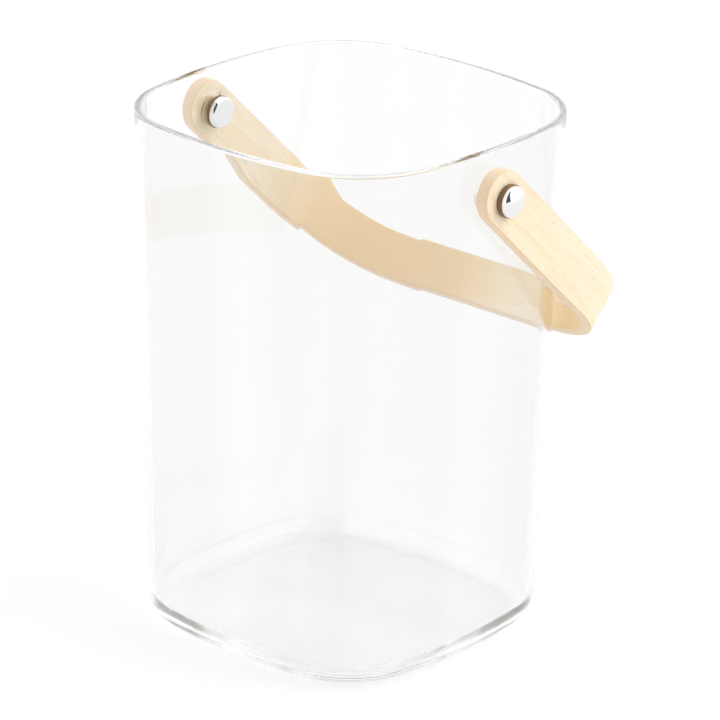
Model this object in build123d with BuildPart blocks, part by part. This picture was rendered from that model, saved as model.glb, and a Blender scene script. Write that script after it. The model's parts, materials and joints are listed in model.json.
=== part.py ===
from build123d import *
from math import atan2, cos, degrees, radians, sin, sqrt
import os

# A clear glass ice bucket of rounded-square section with a bentwood swing handle.
# Millimetres, +Z up. The origin is the centre of the base, on the surface it rests on.
# The handle's pivot axis runs along X. The handle is built lowered against the +Y wall.

# Glass vessel
vessel_height = 200.0
base_half_width = 63.2          # axis to the middle of a side, produced down to z = 0
rim_half_width = 69.0           # the same at the rim
side_radius_ratio = 3.1         # radius of a bowed side / half width
corner_radius_ratio = 0.555     # radius of a corner / half width
wall_thickness = 2.8
floor_thickness = 5.0
foot_radius = 10.0              # rounding between the outside of the wall and the base
well_radius = 7.0               # rounding between the inside of the wall and the floor
rim_radius = 1.35               # fire-polished rim, almost half the wall

# Bentwood handle: one strip bent into a U
pivot_height = 182.0
droop_angle = 42.8              # slope of the lowered handle below the horizontal
leg_width = 20.4
bridge_width = 18.4
taper_start = 60.0              # along a leg, from the pivot axis to where the strip starts to narrow
strip_thickness = 5.0
leg_inner = 69.8                # axis of the vessel to the inner face of a leg
bridge_reach = 104.4            # pivot axis to the outer face of the bridge
bend_radius = 37.0              # outer face of the strip at the two bends
strip_edge_radius = 0.45
end_offset = 1.8                # from the pivot axis to the centre of a leg's round end

# Pivot hardware, the same on both sides
end_play = 0.15                 # between each face of a leg and the washer beside it
glass_hole_radius = 4.0
bush_outer_radius = 4.0
barrel_radius = 3.0
running_clearance = 0.05        # radial, between a barrel and the bush that turns on it
shank_radius = 2.0
thread_clearance = 0.03
washer_radius = 6.2
washer_edge_radius = 0.3
head_washer_thickness = 1.9
inner_washer_thickness = 1.1
head_radius = 5.9
head_band = 0.5                 # cylindrical band under the dome
head_dome = 3.3                 # height of the dome above the band
dome_edge_radius = 2.0          # tight arc that turns the band into the crown
disc_radius = 6.0
disc_thickness = 2.3
disc_chamfer = 0.7
disc_edge_radius = 0.25
shank_end_gap = 0.6             # from the shank's tip to the bottom of the barrel's bore

# Derived stations along X, from the vessel's axis outwards
wall_slope = (rim_half_width - base_half_width) / vessel_height
wall_outer = base_half_width + wall_slope * pivot_height
wall_inner = wall_outer - wall_thickness
inner_washer_start = wall_inner - inner_washer_thickness
disc_start = inner_washer_start - disc_thickness
spacer_end = leg_inner - end_play
leg_outer = leg_inner + strip_thickness
head_washer_start = leg_outer + end_play
head_start = head_washer_start + head_washer_thickness
bore_start = inner_washer_start + shank_end_gap
shank_length = head_start - bore_start - shank_end_gap
cutter_depth = 2.0              # how far a washer blank starts beyond the glass it is trimmed to

# Dome of the screw's head: the edge arc and the crown arc share a tangent where they meet
edge_centre = head_radius - dome_edge_radius
crown_radius = (edge_centre**2 + head_dome**2 - dome_edge_radius**2) / (2 * (head_dome - dome_edge_radius))
crown_angle = degrees(atan2(crown_radius - head_dome, edge_centre))

sides = {"left": -1, "right": 1}


def rounded_square(half_width, inset=0.0):
    """Draw a square with bowed sides and round corners, all tangent, moved in by inset."""
    side_radius = side_radius_ratio * half_width
    corner_radius = corner_radius_ratio * half_width
    side_centre = half_width - side_radius
    radius_gap = side_radius - corner_radius
    # The corner's centre (c, c) lies radius_gap away from the side's centre (side_centre, 0).
    corner_centre = (side_centre + sqrt(2 * radius_gap**2 - side_centre**2)) / 2
    tangent_angle = degrees(atan2(corner_centre, corner_centre - side_centre))
    side_radius -= inset
    corner_radius -= inset
    for quarter in range(4):
        turn = 90 * quarter
        side_middle = Vector(side_centre, 0).rotate(Axis.Z, turn)
        corner_middle = Vector(corner_centre, corner_centre).rotate(Axis.Z, turn)
        CenterArc(side_middle, side_radius, turn - tangent_angle, 2 * tangent_angle)
        CenterArc(corner_middle, corner_radius, turn + tangent_angle, 90 - 2 * tangent_angle)


def half_width_at(height):
    """Outside of the wall at the middle of a side."""
    return base_half_width + wall_slope * height


def pivot_plane(side, distance):
    """Plane square to the pivot axis, facing outwards on the given side."""
    return Plane(origin=(side * distance, 0, pivot_height), x_dir=(0, 1, 0), z_dir=(side, 0, 0))


def turning_plane(side, distance):
    """Plane through the pivot axis: local x is the radius, local y points outwards."""
    return Plane(origin=(side * distance, 0, pivot_height), x_dir=(0, 0, 1), z_dir=(0, side, 0))


def pivot_axis(side):
    return Axis((0, 0, pivot_height), (side, 0, 0))


def save(builder, name):
    builder.part.label = name
    export_step(builder.part, f"parts/{name}.step")


os.makedirs("parts", exist_ok=True)

# Solid outside and solid inside of the vessel, used to cut the glass and to trim the washers
with BuildPart() as envelope:
    for height in (0, vessel_height):
        with BuildSketch(Plane.XY.offset(height)):
            with BuildLine():
                rounded_square(half_width_at(height))
            make_face()
    loft(ruled=True)
    fillet(edges().group_by(Axis.Z)[0], radius=foot_radius)

with BuildPart() as cavity:
    for height in (floor_thickness, vessel_height):
        with BuildSketch(Plane.XY.offset(height)):
            with BuildLine():
                rounded_square(half_width_at(height), inset=wall_thickness)
            make_face()
    loft(ruled=True)
    fillet(edges().group_by(Axis.Z)[0], radius=well_radius)

# Glass vessel: open top, round rim, a clear hole through the middle of two opposite sides
with BuildPart() as glass_vessel:
    add(envelope.part)
    add(cavity.part, mode=Mode.SUBTRACT)
    fillet(edges().group_by(Axis.Z)[-1], radius=rim_radius)
    with BuildSketch(Plane.YZ):
        with Locations((0, pivot_height)):
            Circle(glass_hole_radius)
    extrude(amount=rim_half_width, both=True, mode=Mode.SUBTRACT)
save(glass_vessel, "glass_vessel")

# Handle bow: a rounded rectangular ring about the pivot axis, cut down to its lowered half,
# with each leg rounded off past its pivot
droop = radians(droop_angle)
bow_plane = Plane(origin=(0, 0, pivot_height), x_dir=(1, 0, 0), z_dir=(0, sin(droop), cos(droop)))
strip_plane = Plane(origin=(0, 0, pivot_height), x_dir=bow_plane.y_dir, z_dir=(1, 0, 0))
strip_across = Axis((0, 0, pivot_height), bow_plane.z_dir)
inner_reach = bridge_reach - strip_thickness
with BuildPart() as handle_bow:
    with BuildSketch(bow_plane):
        RectangleRounded(2 * leg_outer, 2 * bridge_reach, bend_radius)
        RectangleRounded(2 * leg_inner, 2 * inner_reach, bend_radius - strip_thickness, mode=Mode.SUBTRACT)
    extrude(amount=leg_width / 2, both=True)
    with BuildSketch(strip_plane):
        with Locations((-end_offset, 0)):
            Circle(leg_width / 2)
        with BuildLine():
            Polyline(
                (-end_offset, leg_width / 2),
                (taper_start, leg_width / 2),
                (bridge_reach, bridge_width / 2),
                (bridge_reach, -bridge_width / 2),
                (taper_start, -leg_width / 2),
                (-end_offset, -leg_width / 2),
                close=True,
            )
        make_face()
    extrude(amount=leg_outer, both=True, mode=Mode.INTERSECT)
    seams = edges().filter_by(strip_across)
    end_lines = edges().filter_by(Axis.X).filter_by(lambda edge: edge.length < 2 * strip_thickness)
    fillet(edges() - seams - end_lines, radius=strip_edge_radius)
    with BuildSketch(Plane.YZ):
        with Locations((0, pivot_height)):
            Circle(bush_outer_radius)
    extrude(amount=leg_outer, both=True, mode=Mode.SUBTRACT)
save(handle_bow, "handle_bow")

for side_name, side in sides.items():
    # Domed screw: mushroom head with a plain shank that stands in the barrel's bore
    with BuildPart() as domed_screw:
        with BuildSketch(turning_plane(side, head_start)):
            with BuildLine():
                edge_arc = CenterArc((edge_centre, head_band), dome_edge_radius, 0, crown_angle)
                crown_height = head_band + head_dome - crown_radius
                crown_arc = CenterArc((0, crown_height), crown_radius, crown_angle, 90 - crown_angle)
                Polyline(
                    crown_arc @ 1,
                    (0, -shank_length),
                    (shank_radius, -shank_length),
                    (shank_radius, 0),
                    (head_radius, 0),
                    edge_arc @ 0,
                )
            make_face()
        revolve(axis=pivot_axis(side))
    save(domed_screw, f"{side_name}_domed_screw")

    # Barrel nut: flat chamfered disc inside the glass, with the barrel that the handle turns on
    with BuildPart() as barrel_nut:
        with BuildSketch(pivot_plane(side, disc_start)):
            Circle(disc_radius)
        extrude(amount=disc_thickness)
        inner_rim = edges().group_by(Axis.X)[0 if side > 0 else -1]
        chamfer(inner_rim, length=disc_chamfer)
        fillet(edges().group_by(Axis.X)[0 if side > 0 else -1], radius=disc_edge_radius)
        with BuildSketch(pivot_plane(side, inner_washer_start)):
            Circle(barrel_radius)
        extrude(amount=head_start - inner_washer_start)
        with BuildSketch(pivot_plane(side, bore_start)):
            Circle(shank_radius + thread_clearance)
        extrude(amount=head_start - bore_start, mode=Mode.SUBTRACT)
    save(barrel_nut, f"{side_name}_barrel_nut")

    # Head washer: between the screw's head and the wood
    with BuildPart() as head_washer:
        with BuildSketch(pivot_plane(side, head_washer_start)):
            Circle(washer_radius)
            Circle(barrel_radius, mode=Mode.SUBTRACT)
        extrude(amount=head_washer_thickness)
        rims = edges().filter_by(GeomType.CIRCLE).group_by(SortBy.RADIUS)[-1]
        fillet(rims, radius=washer_edge_radius)
    save(head_washer, f"{side_name}_head_washer")

    # Spacer washer: between the wood and the glass, shaped to the sloping wall
    with BuildPart() as spacer_washer:
        with BuildSketch(pivot_plane(side, wall_outer - cutter_depth)):
            Circle(washer_radius)
            Circle(barrel_radius, mode=Mode.SUBTRACT)
        extrude(amount=spacer_end - wall_outer + cutter_depth)
        add(envelope.part, mode=Mode.SUBTRACT)
    save(spacer_washer, f"{side_name}_spacer_washer")

    # Inner washer: between the glass and the nut's disc, shaped to the sloping wall
    with BuildPart() as inner_washer:
        with BuildSketch(pivot_plane(side, inner_washer_start)):
            Circle(washer_radius)
            Circle(barrel_radius, mode=Mode.SUBTRACT)
        extrude(amount=inner_washer_thickness + cutter_depth)
        add(cavity.part, mode=Mode.INTERSECT)
    save(inner_washer, f"{side_name}_inner_washer")

    # Hole sleeve: keeps the barrel off the glass, cut flush with both faces of the wall
    with BuildPart() as hole_sleeve:
        with BuildSketch(pivot_plane(side, wall_inner - cutter_depth)):
            Circle(glass_hole_radius)
            Circle(barrel_radius, mode=Mode.SUBTRACT)
        extrude(amount=wall_thickness + 2 * cutter_depth)
        add(envelope.part, mode=Mode.INTERSECT)
        add(cavity.part, mode=Mode.SUBTRACT)
    save(hole_sleeve, f"{side_name}_hole_sleeve")

    # Handle bush: lines the hole in the leg and turns with it on the barrel
    with BuildPart() as handle_bush:
        with BuildSketch(pivot_plane(side, leg_inner)):
            Circle(bush_outer_radius)
            Circle(barrel_radius + running_clearance, mode=Mode.SUBTRACT)
        extrude(amount=strip_thickness)
    save(handle_bush, f"{side_name}_handle_bush")
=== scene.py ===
import json
from math import atan2, cos, hypot, pi, radians, sin, sqrt, tan

import bmesh
import bpy
from mathutils import Matrix, Vector


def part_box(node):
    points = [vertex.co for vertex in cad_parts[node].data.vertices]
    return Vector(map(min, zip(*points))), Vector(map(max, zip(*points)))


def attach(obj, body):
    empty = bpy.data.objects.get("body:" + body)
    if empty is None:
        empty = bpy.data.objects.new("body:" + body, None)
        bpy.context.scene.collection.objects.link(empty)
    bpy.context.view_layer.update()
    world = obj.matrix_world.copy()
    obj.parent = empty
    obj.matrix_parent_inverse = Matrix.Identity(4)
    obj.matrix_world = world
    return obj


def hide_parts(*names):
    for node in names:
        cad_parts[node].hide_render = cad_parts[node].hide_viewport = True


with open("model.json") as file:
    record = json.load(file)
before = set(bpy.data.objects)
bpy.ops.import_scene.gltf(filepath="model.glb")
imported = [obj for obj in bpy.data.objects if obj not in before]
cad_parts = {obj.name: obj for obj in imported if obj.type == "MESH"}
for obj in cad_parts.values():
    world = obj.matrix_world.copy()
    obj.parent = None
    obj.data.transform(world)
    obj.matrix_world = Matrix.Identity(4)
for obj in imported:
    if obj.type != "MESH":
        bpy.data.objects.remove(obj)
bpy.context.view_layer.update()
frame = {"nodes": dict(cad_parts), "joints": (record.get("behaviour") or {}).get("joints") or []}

# Looks of a clear glass ice bucket with a bentwood swing handle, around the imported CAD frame.
# Metres and radians. +Z is up, X runs along the handle's pivot axis.

MM = 0.001
circle_segments = 96

# Places that the frame gives
vessel_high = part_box("glass_vessel")[1]
vessel_height = vessel_high.z
rim_half_width = vessel_high.x
pivot_height = frame["joints"][0]["pos_m"][2]
leg_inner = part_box("right_handle_bush")[0].x
leg_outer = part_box("right_handle_bush")[1].x

# Glass vessel
base_half_width = 63.2 * MM
side_radius_ratio = 3.1
corner_radius_ratio = 0.555
wall_thickness = 2.8 * MM
floor_thickness = 5.0 * MM
foot_radius = 10.0 * MM
well_radius = 7.0 * MM
glass_hole_radius = 4.0 * MM
wall_slope = (rim_half_width - base_half_width) / vessel_height
wall_tilt = atan2(wall_slope, 1)

# Bentwood handle
droop_angle = radians(42.8)
leg_width = 20.4 * MM
bridge_width = 18.4 * MM
taper_start = 60.0 * MM
strip_thickness = leg_outer - leg_inner
bridge_reach = 104.4 * MM
bend_radius = 37.0 * MM
strip_edge_radius = 0.45 * MM
end_offset = 1.8 * MM           # from the pivot axis to the middle of the leg's round end
strip_end_steps = 24
bush_outer_radius = 4.0 * MM
bend_middle_radius = bend_radius - strip_thickness / 2
leg_middle = (leg_inner + leg_outer) / 2
leg_run = bridge_reach - bend_radius
bend_run = bend_middle_radius * pi / 2
bridge_run = 2 * (leg_outer - bend_radius)
strip_run = 2 * (leg_run + bend_run) + bridge_run
across_axis = Vector((0, sin(droop_angle), cos(droop_angle)))
along_axis = Vector((0, cos(droop_angle), -sin(droop_angle)))

# Pivot hardware
barrel_radius = 3.0 * MM
shank_radius = 2.0 * MM
bore_gap = 0.03 * MM
shank_end_gap = 0.6 * MM
soft_edge = 0.3 * MM            # rounding of a washer, a shank's tip and a disc's face
disc_chamfer = 0.7 * MM
head_band = 0.5 * MM
dome_edge_radius = 2.0 * MM

# Colours
glass_clear = (0.960, 0.962, 0.960)
glass_band_shade = (0.930, 0.933, 0.931)
glass_body = (0.25, 0.29, 0.27)
glass_density = 0.5             # per metre
wood_cream = (0.92, 0.805, 0.635)
wood_blush = (0.905, 0.765, 0.565)
wood_honey = (0.88, 0.70, 0.425)
wood_bend_shade = (0.77, 0.52, 0.23)
wood_side_tone_and_shade = (0.77, 0.585, 0.42)
wood_arris_highlight = (0.82, 0.56, 0.28)
wood_grain = (0.80, 0.61, 0.36)
wood_pore = (0.55, 0.36, 0.19)
rubber_dark = (0.10, 0.052, 0.018)
rubber_light = (0.25, 0.14, 0.05)
chrome_dim = (0.80, 0.80, 0.81)
chrome_bright = (0.88, 0.88, 0.89)
silicone_light = (0.70, 0.56, 0.38)
silicone_dark = (0.62, 0.48, 0.31)
nylon_light = (0.88, 0.86, 0.80)
nylon_dark = (0.82, 0.80, 0.73)

# Camera
camera_azimuth = radians(41.44)
camera_elevation = radians(21.33)
camera_roll = radians(1.14)
camera_distance = 1.826
camera_target_height = 0.0994
camera_lens_mm = 247.7
camera_shift = (0.02, 0.0058)
camera_sensor_mm = 36.0
camera_clip_end = 20.0

# Studio
floor_reach = 3.0
floor_gap = 0.3 * MM
floor_tone = 0.55
floor_glow = 0.36               # the sweep's own light, which keeps the background near white
room_light = 1.2
seen_light = 1.05               # what the camera itself sees behind the sweep
dark_gap_light = 0.09
dark_gap_turn = radians(15)
dark_gap_half_angle = radians(27)
window_turn = radians(85)
window_elevation = radians(35)
window_edge = 0.80
window_core = 0.88
window_light = 2.4
light_bounces = 400


# ---------------------------------------------------------------- mesh helpers

def new_piece(name, bm, material, body, slot, *nodes):
    """Turn a bmesh into a smooth-shaded piece that rides on a body and stands for CAD nodes."""
    bmesh.ops.recalc_face_normals(bm, faces=bm.faces)
    mesh = bpy.data.meshes.new(name)
    bm.to_mesh(mesh)
    bm.free()
    mesh.shade_smooth()
    mesh.materials.append(material)
    piece = bpy.data.objects.new(name, mesh)
    bpy.context.scene.collection.objects.link(piece)
    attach(piece, body)
    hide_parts(*nodes)
    return piece


def bridge_rings(bm, ring_a, ring_b, closed=True):
    """Quads between two rings of vertices of the same length."""
    count = len(ring_a)
    for i in range(count if closed else count - 1):
        j = (i + 1) % count
        bm.faces.new((ring_a[i], ring_a[j], ring_b[j], ring_b[i]))


def cut_hole(piece, radius, reach):
    """Cut a round hole about the pivot axis through both sides of a piece."""
    bm = bmesh.new()
    rings = []
    for x in (-reach, reach):
        ring = []
        for k in range(circle_segments):
            angle = 2 * pi * k / circle_segments
            ring.append(bm.verts.new((x, radius * cos(angle), pivot_height + radius * sin(angle))))
        rings.append(ring)
    bridge_rings(bm, *rings)
    for ring in rings:
        bm.faces.new(ring)
    bmesh.ops.recalc_face_normals(bm, faces=bm.faces)
    mesh = bpy.data.meshes.new("cutter")
    bm.to_mesh(mesh)
    bm.free()
    cutter = bpy.data.objects.new("cutter", mesh)
    bpy.context.scene.collection.objects.link(cutter)
    modifier = piece.modifiers.new("hole", "BOOLEAN")
    modifier.operation = "DIFFERENCE"
    modifier.solver = "EXACT"
    modifier.object = cutter
    graph = bpy.context.evaluated_depsgraph_get()
    piece.data = bpy.data.meshes.new_from_object(piece.evaluated_get(graph))
    piece.modifiers.clear()
    bpy.data.objects.remove(cutter)


# ---------------------------------------------------------------- node helpers

class Nodes:
    """A node tree with short calls for what the shaders below share."""

    def __init__(self, tree):
        self.tree = tree

    def node(self, kind, **settings):
        made = self.tree.nodes.new(kind)
        for key, value in settings.items():
            setattr(made, key, value)
        return made

    def link(self, source, target):
        self.tree.links.new(source, target)

    def math(self, operation, first, second=0.0):
        """One sum of two values, each a socket or a number."""
        made = self.node("ShaderNodeMath", operation=operation)
        for socket, value in zip(made.inputs, (first, second)):
            if isinstance(value, (int, float)):
                socket.default_value = value
            else:
                self.link(value, socket)
        return made.outputs[0]

    def stretched(self, scale, source):
        """Coordinates multiplied by a vector."""
        made = self.node("ShaderNodeVectorMath", operation="MULTIPLY")
        self.link(source, made.inputs[0])
        made.inputs[1].default_value = scale
        return made.outputs[0]

    def split(self, vector):
        made = self.node("ShaderNodeSeparateXYZ")
        self.link(vector, made.inputs[0])
        return made.outputs

    def turned(self, vector, angle):
        """Coordinates turned about the upright axis."""
        made = self.node("ShaderNodeVectorRotate", rotation_type="Z_AXIS")
        self.link(vector, made.inputs["Vector"])
        made.inputs["Angle"].default_value = angle
        return made.outputs["Vector"]

    def spread(self, value, low, high, out_low=0.0, out_high=1.0):
        """Map low..high to out_low..out_high, eased and clamped."""
        made = self.node("ShaderNodeMapRange", interpolation_type="SMOOTHSTEP")
        self.link(value, made.inputs["Value"])
        for key, number in (("From Min", low), ("From Max", high),
                            ("To Min", out_low), ("To Max", out_high)):
            made.inputs[key].default_value = number
        return made.outputs["Result"]

    def mix(self, factor, first, second):
        """Mix of two colours, each a socket or a plain colour."""
        made = self.node("ShaderNodeMix", data_type="RGBA")
        self.link(factor, made.inputs["Factor"])
        for socket, colour in ((made.inputs[6], first), (made.inputs[7], second)):
            if isinstance(colour, tuple):
                socket.default_value = (*colour, 1.0)
            else:
                self.link(colour, socket)
        return made.outputs[2]


class Shader(Nodes):
    """A material. Its textures follow the object's own coordinates unless coordinates is replaced."""

    def __init__(self, name):
        self.material = bpy.data.materials.new(name)
        self.material.use_nodes = True
        super().__init__(self.material.node_tree)
        self.surface = self.tree.nodes["Principled BSDF"]
        self.coordinates = self.node("ShaderNodeTexCoord").outputs["Object"]

    def set(self, **values):
        for name, value in values.items():
            self.surface.inputs[name.replace("_", " ")].default_value = value

    def drive(self, name, source):
        self.link(source, self.surface.inputs[name])

    def noise(self, scale, detail=3.0, roughness=0.5, distortion=0.0):
        made = self.node("ShaderNodeTexNoise")
        made.inputs["Scale"].default_value = 1.0
        made.inputs["Detail"].default_value = detail
        made.inputs["Roughness"].default_value = roughness
        made.inputs["Distortion"].default_value = distortion
        self.link(self.stretched(scale, self.coordinates), made.inputs["Vector"])
        return made.outputs["Fac"]

    def bump(self, height, distance, strength=1.0):
        made = self.node("ShaderNodeBump")
        made.inputs["Distance"].default_value = distance
        made.inputs["Strength"].default_value = strength
        self.link(height, made.inputs["Height"])
        return made.outputs["Normal"]


# ---------------------------------------------------------------- materials

def glass_material():
    """Clear soda glass: a light grey tint in faint upright bands, partly draw lines and partly painted
    reflection bands, and a little absorption in its depth.
    """
    shader = Shader("clear_glass")
    shader.set(Roughness=0.0, IOR=1.5, Transmission_Weight=1.0)
    # Painted reflection: upright bands of a greyer tint stand in for reflection bands, besides real draw
    # lines
    bands = shader.noise((28, 28, 1.2), detail=1.0)
    shader.drive("Base Color", shader.mix(shader.spread(bands, 0.3, 0.7), glass_band_shade, glass_clear))
    body = shader.node("ShaderNodeVolumeAbsorption")
    body.inputs["Color"].default_value = (*glass_body, 1.0)
    body.inputs["Density"].default_value = glass_density
    shader.link(body.outputs["Volume"], shader.tree.nodes["Material Output"].inputs["Volume"])
    return shader.material


def wood_material():
    """Pale birch under a thin matt lacquer. The grain attribute makes the fibres follow the bends."""
    shader = Shader("pale_birch")
    shader.coordinates = shader.node("ShaderNodeAttribute", attribute_name="grain").outputs["Vector"]
    along, across, outward = shader.split(shader.coordinates)
    broad = shader.noise((7, 120, 120), detail=2.0, distortion=0.5)
    clouds = shader.noise((40, 90, 90), detail=3.0)
    streaks = shader.noise((22, 620, 620), detail=4.0, distortion=0.4)
    fibre = shader.noise((60, 1900, 1900), detail=4.0, roughness=0.65)
    flecks = shader.noise((170, 1500, 1500), detail=2.0)
    pores = shader.noise((240, 2600, 2600), detail=1.0)
    colour = shader.mix(shader.spread(broad, 0.35, 0.68), wood_cream, wood_blush)
    colour = shader.mix(shader.spread(clouds, 0.45, 0.75, 0.0, 0.35), colour, wood_honey)
    colour = shader.mix(shader.spread(streaks, 0.48, 0.68, 0.0, 0.6), colour, wood_honey)

    # Painted shade: the inner face is darker at the two bends, where shade falls, the left one further into
    # the bridge
    inside = shader.spread(outward, -strip_thickness / 4, strip_thickness / 4, 0.8, 0.0)
    bend_shade_zones = ((leg_run + 0.9 * bend_run, 1.4 * bend_run),
                     (strip_run - leg_run - 0.4 * bend_run, 0.8 * bend_run))
    for centre, reach in bend_shade_zones:
        away = shader.math("ABSOLUTE", shader.math("SUBTRACT", along, centre))
        bend_shade = shader.math("MULTIPLY", shader.spread(away, 0.4 * reach, reach, 1.0, 0.0), inside)
        colour = shader.mix(bend_shade, colour, wood_bend_shade)

    # Distance from the strip's middle line, or from its end past the legs, finds the sawn sides and arrises
    before = shader.math("SUBTRACT", -end_offset, along)
    beyond = shader.math("SUBTRACT", along, strip_run + end_offset)
    past_end = shader.math("MAXIMUM", shader.math("MAXIMUM", before, beyond), 0.0)
    from_line = shader.math("SQRT", shader.math("ADD", shader.math("POWER", past_end, 2.0),
                                                shader.math("POWER", across, 2.0)))
    half = leg_width / 2
    # Sawn sides take a darker tan: partly their own side-grain tone, partly painted shade where the sides
    # face away from the light
    side = shader.spread(from_line, half - 0.4 * MM, half - 0.05 * MM, 0.0, 0.8)
    colour = shader.mix(side, colour, wood_side_tone_and_shade)
    # Painted highlight: a deeper orange line where the faces meet the sides stands in for the rounded arris's
    # highlight
    depth = shader.math("ABSOLUTE", outward)
    near_face = shader.spread(depth, strip_thickness / 2 - 0.7 * MM, strip_thickness / 2 - 0.25 * MM)
    near_side = shader.spread(from_line, half - 0.5 * MM, half - 0.2 * MM, 0.0, 0.7)
    colour = shader.mix(shader.math("MULTIPLY", near_face, near_side), colour, wood_arris_highlight)

    colour = shader.mix(shader.spread(fibre, 0.5, 0.74, 0.0, 0.55), colour, wood_grain)
    colour = shader.mix(shader.spread(flecks, 0.62, 0.70, 0.0, 0.5), colour, wood_grain)
    colour = shader.mix(shader.spread(pores, 0.69, 0.75, 0.0, 0.55), colour, wood_pore)
    shader.drive("Base Color", colour)
    shader.drive("Roughness", shader.spread(fibre, 0.3, 0.8, 0.42, 0.58))
    shader.drive("Normal", shader.bump(fibre, 0.03 * MM, 0.6))
    shader.set(Specular_IOR_Level=0.4, Coat_Weight=0.08, Coat_Roughness=0.35)
    return shader.material


def chrome_material():
    """Polished chrome with a trace of handling haze."""
    shader = Shader("polished_chrome")
    haze = shader.noise((900, 900, 900), detail=4.0)
    shader.drive("Roughness", shader.spread(haze, 0.3, 0.8, 0.03, 0.09))
    tone = shader.noise((300, 300, 300))
    shader.drive("Base Color", shader.mix(tone, chrome_dim, chrome_bright))
    shader.set(Metallic=1.0)
    return shader.material


def rubber_material():
    """Dark brown rubber with a soft sheen."""
    shader = Shader("dark_rubber")
    dust = shader.noise((1800, 1800, 1800), detail=4.0)
    shader.drive("Base Color", shader.mix(dust, rubber_dark, rubber_light))
    shader.drive("Roughness", shader.spread(dust, 0.3, 0.8, 0.22, 0.4))
    shader.drive("Normal", shader.bump(dust, 0.02 * MM))
    return shader.material


def polymer_material(name, light, dark, roughness):
    """Moulded silicone or nylon with a fine orange-peel skin."""
    shader = Shader(name)
    skin = shader.noise((1500, 1500, 1500), detail=2.0)
    shader.drive("Base Color", shader.mix(skin, dark, light))
    shader.drive("Roughness", shader.spread(skin, 0.3, 0.8, roughness - 0.06, roughness + 0.06))
    shader.drive("Normal", shader.bump(skin, 0.01 * MM))
    return shader.material


# ---------------------------------------------------------------- glass vessel

def half_width_at(height):
    return base_half_width + wall_slope * height


def outline(height, half_width):
    """Plan outline of the vessel at a height, moved in so that its half width is as given."""
    full = half_width_at(height)
    inset = full - half_width
    side_radius = side_radius_ratio * full
    corner_radius = corner_radius_ratio * full
    side_centre = full - side_radius
    radius_gap = side_radius - corner_radius
    corner_centre = (side_centre + sqrt(2 * radius_gap**2 - side_centre**2)) / 2
    tangent_angle = atan2(corner_centre, corner_centre - side_centre)
    side_steps = 48
    corner_steps = 48
    quarter = []
    for k in range(side_steps):
        angle = tangent_angle * (2 * k / side_steps - 1)
        reach = side_radius - inset
        quarter.append((side_centre + reach * cos(angle), reach * sin(angle)))
    for k in range(corner_steps):
        angle = tangent_angle + (pi / 2 - 2 * tangent_angle) * k / corner_steps
        reach = corner_radius - inset
        quarter.append((corner_centre + reach * cos(angle), corner_centre + reach * sin(angle)))
    points = []
    for turn in range(4):
        c, s = round(cos(turn * pi / 2)), round(sin(turn * pi / 2))
        points += [(x * c - y * s, x * s + y * c, height) for x, y in quarter]
    return points


def wall_x(y, z, inset):
    """Distance from the middle plane to the wall's face beside the pivot axis."""
    full = half_width_at(z)
    side_radius = side_radius_ratio * full
    return full - side_radius + sqrt((side_radius - inset) ** 2 - y**2)


def corner_arc(radius, bottom, offset, steps=10):
    """Rounding from a level face at height bottom up to the wall, as (height, half width) pairs."""
    centre_height = bottom + radius
    centre = half_width_at(centre_height) - offset - radius / cos(wall_tilt)
    start, end = -pi / 2, -wall_tilt
    pairs = []
    for k in range(steps + 1):
        angle = start + (end - start) * k / steps
        pairs.append((centre_height + radius * sin(angle), centre + radius * cos(angle)))
    return pairs


def wall_run(low, high, offset, steps):
    """Stations up the wall between two heights, both ends left out, as (height, half width) pairs."""
    heights = [low + (high - low) * k / steps for k in range(1, steps)]
    return [(z, half_width_at(z) - offset) for z in heights]


def build_vessel(material):
    """One closed skin: underside, foot, outside wall, round rim, inside wall, well and floor."""
    rim_radius = wall_thickness / 2
    rim_height = vessel_height - rim_radius
    foot = corner_arc(foot_radius, 0.0, 0.0)
    well = corner_arc(well_radius, floor_thickness, wall_thickness)
    rim = []
    rim_steps = 40
    for k in range(rim_steps + 1):
        angle = -wall_tilt + pi * k / rim_steps
        rim.append((rim_height + rim_radius * sin(angle),
                    half_width_at(rim_height) - rim_radius * (1 - cos(angle))))
    stations = foot + wall_run(foot[-1][0], rim_height, 0.0, 24) + rim
    stations += wall_run(well[-1][0], rim_height, wall_thickness, 24)[::-1] + well[::-1]
    bm = bmesh.new()
    rings = [[bm.verts.new(p) for p in outline(z, half)] for z, half in stations]
    for ring_a, ring_b in zip(rings, rings[1:]):
        bridge_rings(bm, ring_a, ring_b)
    for edge_ring in (rings[0], rings[-1]):
        previous = edge_ring
        for share in (0.85, 0.65, 0.45, 0.25, 0.1):
            ring = [bm.verts.new((v.co.x * share, v.co.y * share, v.co.z)) for v in edge_ring]
            bridge_rings(bm, previous, ring)
            previous = ring
        centre = bm.verts.new((0, 0, edge_ring[0].co.z))
        for k, vertex in enumerate(previous):
            bm.faces.new((vertex, previous[(k + 1) % len(previous)], centre))
    piece = new_piece("vessel_glass", bm, material, "vessel", "clear_glass", "glass_vessel")
    cut_hole(piece, glass_hole_radius, vessel_height)


# ---------------------------------------------------------------- bentwood handle

def bow_point(s, e, n):
    """Place of a point of the flat strip once bent: s along from the left pivot, e across, n outwards."""
    mirrored = s > strip_run / 2
    if mirrored:
        s = strip_run - s
    if s < leg_run:
        x, d = leg_middle + n, s
    elif s < leg_run + bend_run:
        angle = (s - leg_run) / bend_middle_radius
        reach = bend_middle_radius + n
        x = leg_outer - bend_radius + reach * cos(angle)
        d = leg_run + reach * sin(angle)
    else:
        x = leg_outer - bend_radius - (s - leg_run - bend_run)
        d = bridge_reach - strip_thickness / 2 + n
    side = 1 if mirrored else -1
    return Vector((side * x, 0, pivot_height)) + along_axis * d + across_axis * e


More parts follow.
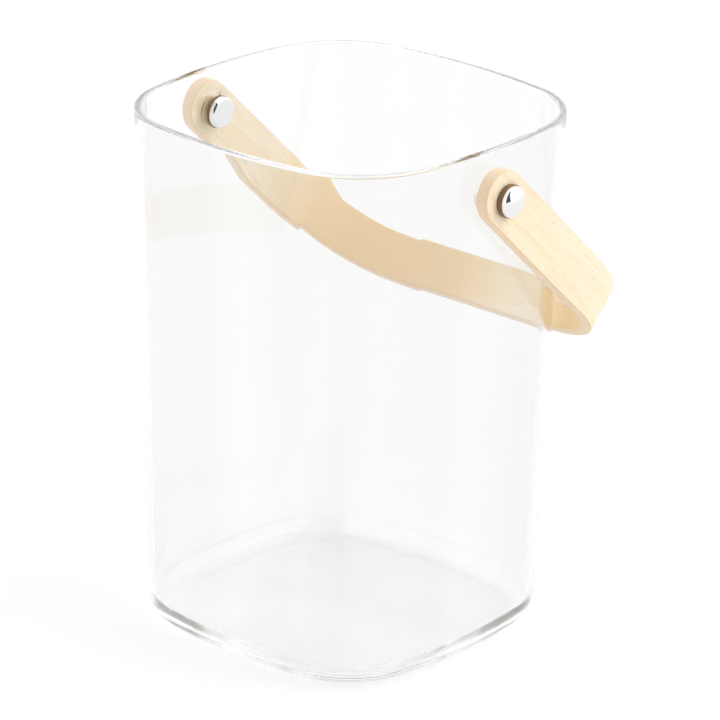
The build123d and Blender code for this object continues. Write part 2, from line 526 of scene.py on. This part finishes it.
def half_width_along(s):
    """Half of the strip's width: even as far as taper_start, then narrowing to the bridge."""
    s = min(s, strip_run - s)
    if s < leg_run:
        d = s
    elif s < leg_run + bend_run:
        d = leg_run + bend_radius * sin((s - leg_run) / bend_middle_radius)
    else:
        d = bridge_reach
    share = max(0.0, d - taper_start) / (bridge_reach - taper_start)
    return (leg_width + (bridge_width - leg_width) * share) / 2


def strip_coordinates(point):
    """The flat strip's s, e and n at a place on the bent one, with e stretched to fill the full leg width."""
    local = point - Vector((0, 0, pivot_height))
    x, d, e = abs(local.x), local.dot(along_axis), local.dot(across_axis)
    corner = leg_outer - bend_radius
    if d < leg_run:
        s, n = d, x - leg_middle
    elif x > corner:
        s = leg_run + bend_middle_radius * atan2(d - leg_run, x - corner)
        n = hypot(x - corner, d - leg_run) - bend_middle_radius
    else:
        s = leg_run + bend_run + corner - x
        n = d - bridge_reach + strip_thickness / 2
    e *= leg_width / 2 / half_width_along(s)
    return (s if local.x < 0 else strip_run - s), e, n


def strip_loop(inset, n):
    """Closed loop round the flat strip, moved in from its outline, with n constant."""
    half = leg_width / 2 - inset
    turns = [pi * k / strip_end_steps for k in range(1, strip_end_steps)]
    stations = [-end_offset] + [leg_run * k / 16 for k in range(17)]
    stations += [leg_run + bend_run * k / 28 for k in range(1, 29)]
    stations += [leg_run + bend_run + bridge_run * k / 24 for k in range(1, 12)]
    stations += [strip_run - s for s in stations[::-1]]
    loop = [(s, half_width_along(s) - inset, n) for s in stations]
    reach = strip_run + end_offset
    loop += [(reach + half * sin(turn), half * cos(turn), n) for turn in turns]
    loop += [(s, inset - half_width_along(s), n) for s in stations[::-1]]
    reach = -end_offset
    loop += [(reach - half * sin(turn), -half * cos(turn), n) for turn in turns]
    return loop


def build_handle(material):
    """The strip made flat as nested loops from edge to middle line, bent by bow_point, then drilled."""
    half_thickness = strip_thickness / 2
    end_count = strip_end_steps - 1
    edge_steps = 6
    layers = []
    inner_insets = [bridge_width / 2 * k for k in (0.96, 0.8, 0.62, 0.45, 0.3, 0.18)]
    layers += [(inset, -half_thickness) for inset in inner_insets]
    for k in range(edge_steps + 1):
        angle = pi / 2 * k / edge_steps
        layers.append((strip_edge_radius * (1 - sin(angle)),
                       -half_thickness + strip_edge_radius * (1 - cos(angle))))
    layers += [(0.0, n) for n in (-0.3 * half_thickness, 0.3 * half_thickness)]
    for k in range(edge_steps + 1):
        angle = pi / 2 * (1 - k / edge_steps)
        layers.append((strip_edge_radius * (1 - sin(angle)),
                       half_thickness - strip_edge_radius * (1 - cos(angle))))
    layers += [(inset, half_thickness) for inset in inner_insets[::-1]]
    bm = bmesh.new()
    loops = [[bm.verts.new(bow_point(*point)) for point in strip_loop(*layer)] for layer in layers]
    for loop_a, loop_b in zip(loops, loops[1:]):
        bridge_rings(bm, loop_a, loop_b)
    for loop in (loops[0], loops[-1]):
        stations = (len(loop) - 2 * end_count) // 2
        first = loop[:stations]
        second = loop[stations + end_count:2 * stations + end_count][::-1]
        for k in range(stations - 1):
            bm.faces.new((first[k], first[k + 1], second[k + 1], second[k]))
        bm.faces.new([first[-1]] + loop[stations:stations + end_count] + [second[-1]])
        bm.faces.new([second[0]] + loop[-end_count:] + [first[0]])
    piece = new_piece("bentwood_bow", bm, material, "handle", "birch", "handle_bow")
    cut_hole(piece, bush_outer_radius, vessel_height)
    grain = piece.data.attributes.new("grain", "FLOAT_VECTOR", "POINT")
    for vertex in piece.data.vertices:
        grain.data[vertex.index].vector = strip_coordinates(vertex.co)


# ---------------------------------------------------------------- turned hardware

def rounded_profile(points, steps=6):
    """Profile through (radius, station, rounding) points, with an arc at each rounded corner."""
    profile = []
    for k, (r, x, rounding) in enumerate(points):
        if not rounding:
            profile.append((r, x))
            continue
        here = Vector((r, x))
        to_previous = (Vector(points[k - 1][:2]) - here).normalized()
        to_next = (Vector(points[k + 1][:2]) - here).normalized()
        half_turn = to_previous.angle(to_next) / 2
        centre = here + (to_previous + to_next).normalized() * (rounding / sin(half_turn))
        start = here + to_previous * (rounding / tan(half_turn)) - centre
        end = here + to_next * (rounding / tan(half_turn)) - centre
        turn = start.angle_signed(end)
        for step in range(steps + 1):
            arm = start.copy()
            arm.rotate(Matrix.Rotation(-turn * step / steps, 2))
            profile.append(tuple(centre + arm))
    return profile


def turned_piece(name, side, profile, material, slot, node, closed=False, fit=None):
    """Revolve (radius, station) pairs about the pivot axis. fit moves each station onto sloping glass."""
    bm = bmesh.new()
    rings = []
    for r, x in profile:
        if r < 1e-7:
            rings.append([bm.verts.new((side * x, 0, pivot_height))])
            continue
        ring = []
        for k in range(circle_segments):
            angle = 2 * pi * k / circle_segments
            y, z = r * cos(angle), pivot_height + r * sin(angle)
            ring.append(bm.verts.new((side * (fit(x, y, z) if fit else x), y, z)))
        rings.append(ring)
    pairs = list(zip(rings, rings[1:] + rings[:1])) if closed else list(zip(rings, rings[1:]))
    for ring_a, ring_b in pairs:
        if len(ring_a) == 1 or len(ring_b) == 1:
            pole, ring = (ring_a[0], ring_b) if len(ring_a) == 1 else (ring_b[0], ring_a)
            for k in range(circle_segments):
                bm.faces.new((pole, ring[k], ring[(k + 1) % circle_segments]))
        else:
            bridge_rings(bm, ring_a, ring_b)
    new_piece(name, bm, material, "vessel", slot, node)


def stations_of(node):
    """Where a CAD node starts and ends along the pivot axis, from the vessel outwards."""
    low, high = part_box(node)
    return sorted(abs(x) for x in (low.x, high.x))


def radius_of(node):
    low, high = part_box(node)
    return (high.z - low.z) / 2


def build_pivot(side_name, side, chrome, rubber, silicone):
    """Screw, barrel nut and washers of one pivot."""
    # Domed screw: the head's edge arc and crown arc are tangent; the shank hides in the barrel
    node = f"{side_name}_domed_screw"
    tip, top = stations_of(node)
    head_start = stations_of(f"{side_name}_head_washer")[1]
    head_radius = radius_of(node)
    dome = top - head_start - head_band
    edge_centre = head_radius - dome_edge_radius
    crown_radius = (edge_centre**2 + dome**2 - dome_edge_radius**2) / (2 * (dome - dome_edge_radius))
    crown_angle = atan2(crown_radius - dome, edge_centre)
    profile = rounded_profile([(0, tip, 0), (shank_radius, tip, soft_edge), (shank_radius, head_start, 0),
                               (head_radius - 0.3 * MM, head_start, 0)])
    profile += rounded_profile([(head_radius - 0.3 * MM, head_start, 0), (head_radius, head_start, 0.2 * MM),
                                (head_radius, head_start + head_band, 0)])[1:-1]
    for k in range(15):
        angle = crown_angle * k / 14
        profile.append((edge_centre + dome_edge_radius * cos(angle),
                        head_start + head_band + dome_edge_radius * sin(angle)))
    for k in range(1, 19):
        angle = crown_angle + (pi / 2 - crown_angle) * k / 18
        profile.append((crown_radius * cos(angle) if k < 18 else 0.0, top - crown_radius * (1 - sin(angle))))
    turned_piece(f"{side_name}_screw", side, profile, chrome, "chrome", node)

    # Barrel nut: softly edged disc, chamfered face, barrel with its bore
    node = f"{side_name}_barrel_nut"
    face, mouth = stations_of(node)
    seat = stations_of(f"{side_name}_inner_washer")[0]
    disc_radius = radius_of(node)
    bore_radius = shank_radius + bore_gap
    bore_end = tip - shank_end_gap
    profile = rounded_profile([(0, face, 0), (disc_radius - disc_chamfer, face, soft_edge),
                               (disc_radius, face + disc_chamfer, 0.35 * MM),
                               (disc_radius, seat, 0.2 * MM), (barrel_radius, seat, 0),
                               (barrel_radius, mouth, 0.1 * MM), (bore_radius, mouth, 0),
                               (bore_radius, bore_end, 0), (0, bore_end, 0)])
    turned_piece(f"{side_name}_nut", side, profile, chrome, "chrome", node)

    # Washers: the two that lie on the glass follow its slope and its bow
    for part, inset, outward, material, slot in (("head_washer", None, 0, rubber, "dark_rubber"),
                                                 ("spacer_washer", 0.0, -1, silicone, "clear_silicone"),
                                                 ("inner_washer", wall_thickness, 1, rubber, "dark_rubber")):
        node = f"{side_name}_{part}"
        start, end = stations_of(node)
        fit = None
        if inset is not None:
            flat = end if outward < 0 else start
            glass = wall_x(0, pivot_height, inset)
            start, end = sorted((flat, glass))

            def fit(x, y, z, flat=flat, glass=glass, inset=inset):
                share = (x - flat) / (glass - flat)
                return x + share * (wall_x(y, z, inset) - glass)
        outer = radius_of(node)
        edge = min(soft_edge, (end - start) * 0.3)
        profile = rounded_profile([(barrel_radius, start, 0), (outer, start, edge), (outer, end, edge),
                                   (barrel_radius, end, 0)])
        turned_piece(f"{side_name}_{part}_ring", side, profile, material, slot, node, closed=True, fit=fit)


# ---------------------------------------------------------------- studio

def build_floor():
    """Pale sweep under the vessel, a little luminous."""
    shader = Shader("pale_sweep")
    mottle = shader.noise((4, 4, 4), detail=2.0)
    shader.drive("Base Color", shader.mix(mottle, (floor_tone,) * 3, (floor_tone * 1.01,) * 3))
    shader.set(Roughness=0.9, Specular_IOR_Level=0.1,
               Emission_Color=(1, 1, 1, 1), Emission_Strength=floor_glow)
    bm = bmesh.new()
    steps = 8
    grid = [[bm.verts.new((floor_reach * (2 * i / steps - 1), floor_reach * (2 * j / steps - 1), -floor_gap))
             for i in range(steps + 1)] for j in range(steps + 1)]
    for row_a, row_b in zip(grid, grid[1:]):
        bridge_rings(bm, row_a, row_b, closed=False)
    mesh = bpy.data.meshes.new("floor")
    bm.to_mesh(mesh)
    bm.free()
    mesh.materials.append(shader.material)
    floor = bpy.data.objects.new("floor", mesh)
    bpy.context.scene.collection.objects.link(floor)


def view_back(azimuth, elevation):
    """Unit vector from the object towards a viewer."""
    return Vector((sin(azimuth) * cos(elevation), -cos(azimuth) * cos(elevation), sin(elevation)))


def build_world():
    """White room with a big soft window at the right and a dark gap behind the camera, for the chrome."""
    world = bpy.data.worlds.new("studio")
    world.use_nodes = True
    nodes = Nodes(world.node_tree)
    direction = nodes.node("ShaderNodeTexCoord").outputs["Generated"]
    sideways, away, up = nodes.split(nodes.turned(direction, -camera_azimuth - dark_gap_turn))
    reach = nodes.math("MULTIPLY", away, -tan(dark_gap_half_angle))
    inside = nodes.math("SUBTRACT", reach, nodes.math("ABSOLUTE", sideways))
    dark_gap = nodes.math("MULTIPLY", nodes.spread(inside, -0.02, 0.06), nodes.spread(up, -0.04, 0.04))
    room = nodes.mix(dark_gap, (room_light,) * 3, (dark_gap_light,) * 3)
    aim = nodes.node("ShaderNodeVectorMath", operation="DOT_PRODUCT")
    nodes.link(direction, aim.inputs[0])
    aim.inputs[1].default_value = view_back(camera_azimuth + window_turn, window_elevation)
    window = nodes.spread(aim.outputs["Value"], window_edge, window_core)
    lit = nodes.mix(window, room, (window_light,) * 3)
    seen = nodes.node("ShaderNodeLightPath").outputs["Is Camera Ray"]
    background = world.node_tree.nodes["Background"]
    nodes.link(nodes.mix(seen, lit, (seen_light,) * 3), background.inputs["Color"])
    bpy.context.scene.world = world


def build_camera():
    data = bpy.data.cameras.new("camera")
    data.lens = camera_lens_mm
    data.sensor_width = camera_sensor_mm
    data.shift_x, data.shift_y = camera_shift
    data.clip_end = camera_clip_end
    camera = bpy.data.objects.new("camera", data)
    bpy.context.scene.collection.objects.link(camera)
    back = view_back(camera_azimuth, camera_elevation)
    right = Vector((cos(camera_azimuth), sin(camera_azimuth), 0))
    up = back.cross(right)
    rolled_right = right * cos(camera_roll) + up * sin(camera_roll)
    rolled_up = up * cos(camera_roll) - right * sin(camera_roll)
    place = Matrix((rolled_right, rolled_up, back)).transposed().to_4x4()
    place.translation = Vector((0, 0, camera_target_height)) + back * camera_distance
    camera.matrix_world = place
    bpy.context.scene.camera = camera


# ---------------------------------------------------------------- scene

glass = glass_material()
wood = wood_material()
chrome = chrome_material()
rubber = rubber_material()
silicone = polymer_material("milky_silicone", silicone_light, silicone_dark, 0.35)
nylon = polymer_material("natural_nylon", nylon_light, nylon_dark, 0.45)

build_vessel(glass)
build_handle(wood)
for side_name, side in (("left", -1), ("right", 1)):
    build_pivot(side_name, side, chrome, rubber, silicone)
    for node, material in ((f"{side_name}_hole_sleeve", silicone), (f"{side_name}_handle_bush", nylon)):
        kept = frame["nodes"][node]
        kept.data.materials.clear()
        kept.data.materials.append(material)

build_floor()
build_world()
build_camera()
scene = bpy.context.scene
scene.view_settings.view_transform = "Standard"
scene.cycles.max_bounces = light_bounces
scene.cycles.transmission_bounces = light_bounces
scene.cycles.glossy_bounces = light_bounces
scene.cycles.blur_glossy = 0.0
